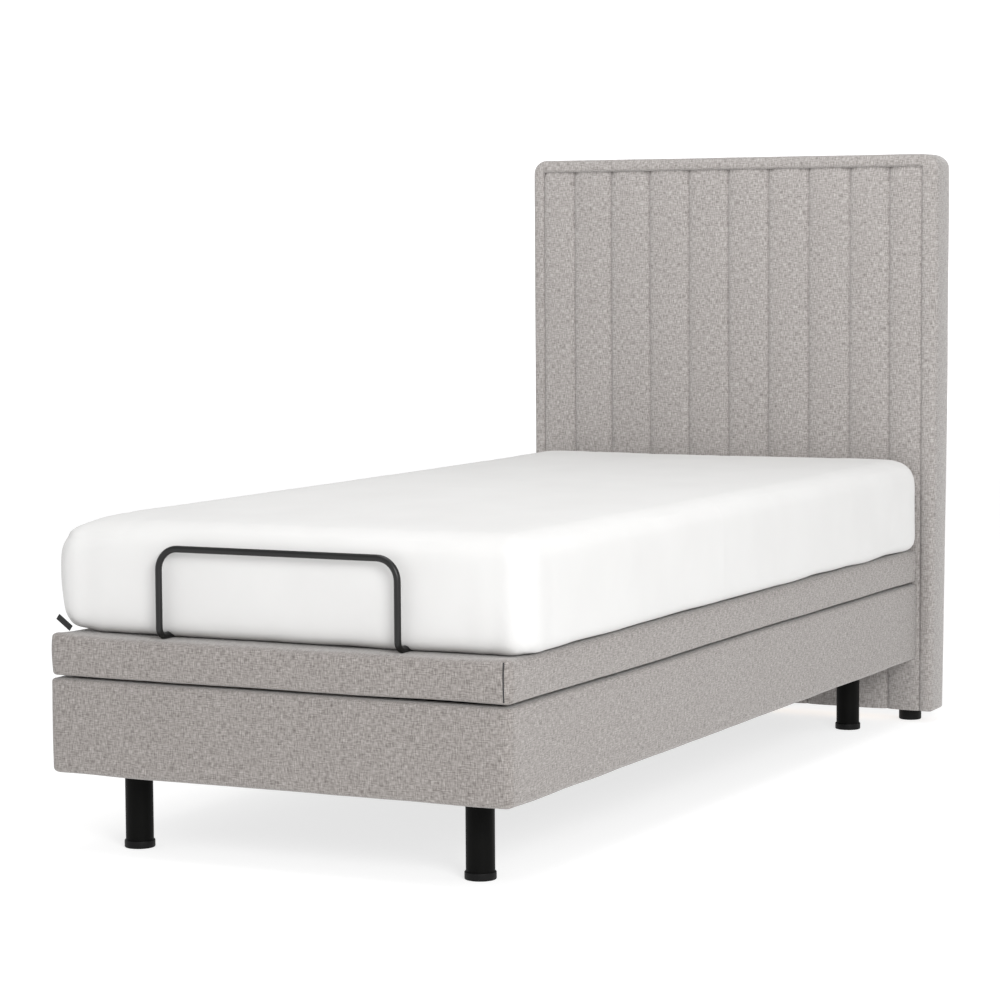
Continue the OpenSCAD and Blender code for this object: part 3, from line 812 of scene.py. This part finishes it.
def pull_in(co, normal):
    near, index = min((abs(co.x - s), i) for i, s in enumerate(SEAMS))
    side, top = face_high.x - abs(co.x), face_high.z - co.z
    groove = 0.0075 * exp(-near / 0.014) + 0.0028 * exp(-((near / 0.0022) ** 2))
    edge = 0.004 * exp(-side / 0.007) + 0.0025 * exp(-((side / 0.003) ** 2))
    edge += 0.004 * exp(-top / 0.009) + 0.0015 * exp(-((top / 0.006) ** 2))
    puck = 0.0010 * exp(-near / 0.012) * bump_at(index * 7.7, co.z * 55, 0)
    puck += 0.0012 * exp(-top / 0.02) * bump_at(co.x * 75, 4.4, 0)
    drift = 0.0010 * bump_at(co.x * 8, 0, co.z * 5)
    lean = 0.0014 * exp(-near / 0.02) * bump_at(index * 3.3, co.z * 2.2, 8)
    return Vector((co.x + lean, co.y + groove + edge + puck + drift, co.z))


panel = quilt_panel()
sculpt(panel, gather)
sculpt(panel, pull_in)
modify(panel, "SOLIDIFY", thickness=PANEL_T, offset=-1)
smooth(panel)
unwrap(panel)
dress(panel, headboard_lit_cloth, "headboard_face_pad")
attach(panel, "base")

# %% [markdown]
# ## The headboard's border
# A padded border runs up one side, over the top and down the other. It is one shape with
# one cross-section all the way, so the section is drawn once and swept: straight up, round
# a small corner, across, round again and down.

# %% Sweep the border
CORNER = 0.028
DEPTH = rim_high.y - rim_low.y
border_w = rim_high.x - rim_low.x


def sweep_border():
    drop_selection()
    middle = (-(rim_low.x + rim_high.x) / 2, (rim_low.y + rim_high.y) / 2, rim_low.z)
    bpy.ops.mesh.primitive_plane_add(size=1, location=middle)
    bpy.context.object.scale = (border_w, DEPTH, 1)
    border = settle()
    border.name = "headboard_border"
    turn = rim_high.z - CORNER
    with editing(border):
        pick("VERT", lambda c, n: c.x < -rim_high.x + 0.001)
        bpy.ops.mesh.bevel(offset=0.012, segments=5, affect="VERTICES")
        pick("VERT", lambda c, n: c.x > -rim_low.x - 0.001 and c.y < rim_low.y + 0.001)
        bpy.ops.mesh.bevel(offset=0.006, segments=4, affect="VERTICES")
        bpy.ops.mesh.select_all(action="SELECT")
        push((0, 0, turn - rim_low.z), 24)
        swing((-rim_high.x + CORNER, 0, turn), (0, 1, 0), pi / 2, 8)
        push((2 * (rim_high.x - CORNER), 0, 0), 20)
        swing((rim_high.x - CORNER, 0, turn), (0, 1, 0), pi / 2, 8)
        push((0, 0, rim_low.z - turn), 24)
        bpy.ops.mesh.select_all(action="SELECT")
        bpy.ops.mesh.remove_doubles(threshold=0.0001)
        bpy.ops.mesh.normals_make_consistent(inside=False)
        pick("EDGE", lambda c, d: abs(d.z) < 0.1 and c.z < rim_low.z + 0.001)
        bpy.ops.mesh.bevel(offset=0.0045, segments=3)
    return border


border = sweep_border()
print("border:", [round(c, 3) for c in border.dimensions], len(border.data.vertices), "points")


def relax_border(co, normal):
    along = co.z * 5 + co.x * 5
    wave = 0.0009 * bump_at(along, co.y * 9, 2) + 0.0003 * bump_at(along * 4, co.y * 20, 7)
    depth = (co.y - rim_low.y) / DEPTH
    swell = 0.0045 * sin(pi * min(max(depth, 0), 1))
    rise = min(max(co.z - rim_low.z, 0), 1)
    full = 0.009 * sin(pi / 2 * rise) * max(co.x - rim_low.x, 0) / border_w
    return co + normal * (wave + swell) + Vector((full, 0, 0))


sculpt(border, relax_border)
smooth(border)
unwrap(border)
border_nodes = ["headboard_border_left", "headboard_border_right", "headboard_border_top"]
dress(border, headboard_lit_cloth, *border_nodes)
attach(border, "base")

# %% [markdown]
# ## The headboard's back
# Behind, a plain lining cloth closes the board. It is a thin panel with the same round top
# corners, its edges turned in.

# %% Close the back
back_low, back_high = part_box("headboard_back_cover")
lining = block(
    "headboard_lining",
    (back_low.x + 0.006, back_low.y - 0.0004, back_low.z + 0.004),
    (back_high.x - 0.006, back_high.y + 0.0006, back_high.z - 0.006),
)
with editing(lining):
    pick("EDGE", lambda c, d: abs(d.y) > 0.9 and c.z > 1)
    bpy.ops.mesh.bevel(offset=0.022, segments=6)
    pick("EDGE", lambda c, d: abs(d.y) < 0.1 and c.y > back_high.y)
    bpy.ops.mesh.bevel(offset=0.0014, segments=3)
smooth(lining)
unwrap(lining)
dress(lining, back_cloth, "headboard_back_cover")
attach(lining, "base")

# %% [markdown]
# ## Legs, caps and glides
# Each leg is a round steel tube with a moulded cap pushed on its end. Real tubes and caps
# have no knife edges, so the cylinders get their rims rolled.


# %% Turn the round parts
def turned(name, centre, radius, low, high, rim, steps=64):
    drop_selection()
    bpy.ops.mesh.primitive_cylinder_add(
        vertices=steps, radius=radius, depth=high - low, location=(*centre, (low + high) / 2)
    )
    bpy.context.object.name = name
    obj = settle()
    with editing(obj):
        pick("EDGE", lambda c, d: abs(d.z) < 0.1)
        bpy.ops.mesh.bevel(offset=rim, segments=4)
    smooth(obj, 35)
    return obj


def round_parts(node, prefix, material, rim):
    """One turned piece for each separate round of a node, found by the quarter it is in."""
    low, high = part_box(node)
    made = []
    points = [v.co for v in frame["nodes"][node].data.vertices]
    split = sorted({(c.x > 0, c.y > 0) for c in points})
    for right, head in split:
        group = [c for c in points if (c.x > 0) == right and (c.y > 0) == head]
        xs, ys = [c.x for c in group], [c.y for c in group]
        centre = ((min(xs) + max(xs)) / 2, (min(ys) + max(ys)) / 2)
        radius = (max(xs) - min(xs)) / 2
        name = f"{prefix}_{'head' if head else 'foot'}_{'right' if right else 'left'}"
        made.append(turned(name, centre, radius, low.z, high.z, rim))
    return made


for cap in round_parts("leg_caps", "leg_cap", black_plastic, 0.002):
    dress(cap, black_plastic, "leg_caps")
    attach(cap, "base")
for glide in round_parts("headboard_glides", "headboard_glide", black_plastic, 0.003):
    dress(glide, black_plastic, "headboard_glides")
    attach(glide, "base")

# %% [markdown]
# ## The retaining bar
# A round black tube stands up at the foot and stops the mattress sliding when the back is
# raised. Bent tube is drawn the way it is made: a circle is pushed along, and swung round
# the centre of each bend.

# %% Bend the bar
bar_low, bar_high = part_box("retaining_bar")
TUBE_R = 0.006
BAR = {"top": bar_high.z - TUBE_R, "x": bar_high.x - TUBE_R, "y": bar_low.y + TUBE_R}
POST_Y, RUN_Z = bar_high.y - TUBE_R, deck_top - TUBE_R
BIG, SMALL = 0.038, 0.016


def bend_bar():
    drop_selection()
    bpy.ops.mesh.primitive_circle_add(
        vertices=24, radius=TUBE_R, fill_type="NGON", location=(-BAR["x"], POST_Y, bar_low.z)
    )
    bar = settle()
    bar.name = "retaining_bar_tube"
    with editing(bar):
        bpy.ops.mesh.select_all(action="SELECT")
        push((0, 0, RUN_Z - SMALL - bar_low.z))
        swing((-BAR["x"], POST_Y - SMALL, RUN_Z - SMALL), (1, 0, 0), pi / 2)
        push((0, -(POST_Y - BAR["y"] - 2 * SMALL), 0))
        swing((-BAR["x"], BAR["y"] + SMALL, RUN_Z + SMALL), (1, 0, 0), -pi / 2)
        push((0, 0, BAR["top"] - BIG - RUN_Z - SMALL))
        swing((-BAR["x"] + BIG, BAR["y"], BAR["top"] - BIG), (0, 1, 0), pi / 2)
        push((BAR["x"] - BIG, 0, 0))
        bpy.ops.mesh.delete(type="ONLY_FACE")
    modify(bar, "MIRROR", use_axis=(True, False, False), use_clip=False)
    with editing(bar):
        bpy.ops.mesh.select_all(action="SELECT")
        bpy.ops.mesh.remove_doubles(threshold=0.0002)
        bpy.ops.mesh.normals_make_consistent(inside=False)
    return bar


bar = bend_bar()
print("bar:", [round(c, 3) for c in bar.dimensions], len(bar.data.vertices), "points")
smooth(bar, 35)
dress(bar, black_bar, "retaining_bar")
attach(bar, "calf")

# %% [markdown]
# ## Floor and light
# The bed stands on a pale floor inside a pale round wall, so no horizon shows from any
# side. The light is plain and soft: an even sky, one big soft lamp at the front on the
# right, whose light fades gently towards the headboard, and a weak one overhead.


# %% Floor and wall
def backdrop(name, level, glow):
    paint = Finish(name, Roughness=0.9, Specular_IOR_Level=0.0, Emission_Strength=glow)
    paint.shader.inputs["Emission Color"].default_value = (1, 1, 1, 1)
    speck = paint.grain(paint.place(scale=(3, 3, 3)), detail=2.0)
    paint.wear("Base Color", paint.ramp(speck, (0.2, grey(level - 0.02)), (0.8, grey(level))))
    bpy.context.object.data.materials.append(paint.material)
    bpy.context.object.name = name


drop_selection()
bpy.ops.mesh.primitive_circle_add(vertices=96, radius=14, fill_type="NGON")
settle()
backdrop("studio_floor", 0.46, 0.72)
drop_selection()
bpy.ops.mesh.primitive_cylinder_add(
    vertices=96, radius=14, depth=5, location=(0, 0, 2.5), end_fill_type="NOTHING"
)
settle()
backdrop("studio_wall", 0.3, 1.0)
print("stage:", 2, "pieces")


# %% Lights
def softbox(name, place, aim, size, power):
    lamp = bpy.data.objects.new(name, bpy.data.lights.new(name, "AREA"))
    bpy.context.scene.collection.objects.link(lamp)
    lamp.data.shape = "RECTANGLE"
    lamp.data.size, lamp.data.size_y = size
    lamp.data.energy = power
    lamp.location = place
    lamp.rotation_euler = (Vector(aim) - Vector(place)).to_track_quat("-Z", "Y").to_euler()


softbox("front_softbox", (4.4, -4.9, 2.9), (0, -0.3, 0.5), (2.4, 2.0), 240)
softbox("top_softbox", (0.3, -0.6, 3.2), (0, 0.2, 0.6), (2.2, 2.2), 48)
sky = bpy.data.worlds.new("studio")
sky.use_nodes = True
sky.node_tree.nodes["Background"].inputs["Color"].default_value = (1, 1, 1, 1)
sky.node_tree.nodes["Background"].inputs["Strength"].default_value = 0.5
bpy.context.scene.world = sky
bpy.context.scene.view_settings.view_transform = "Standard"
print("lights:", 2)
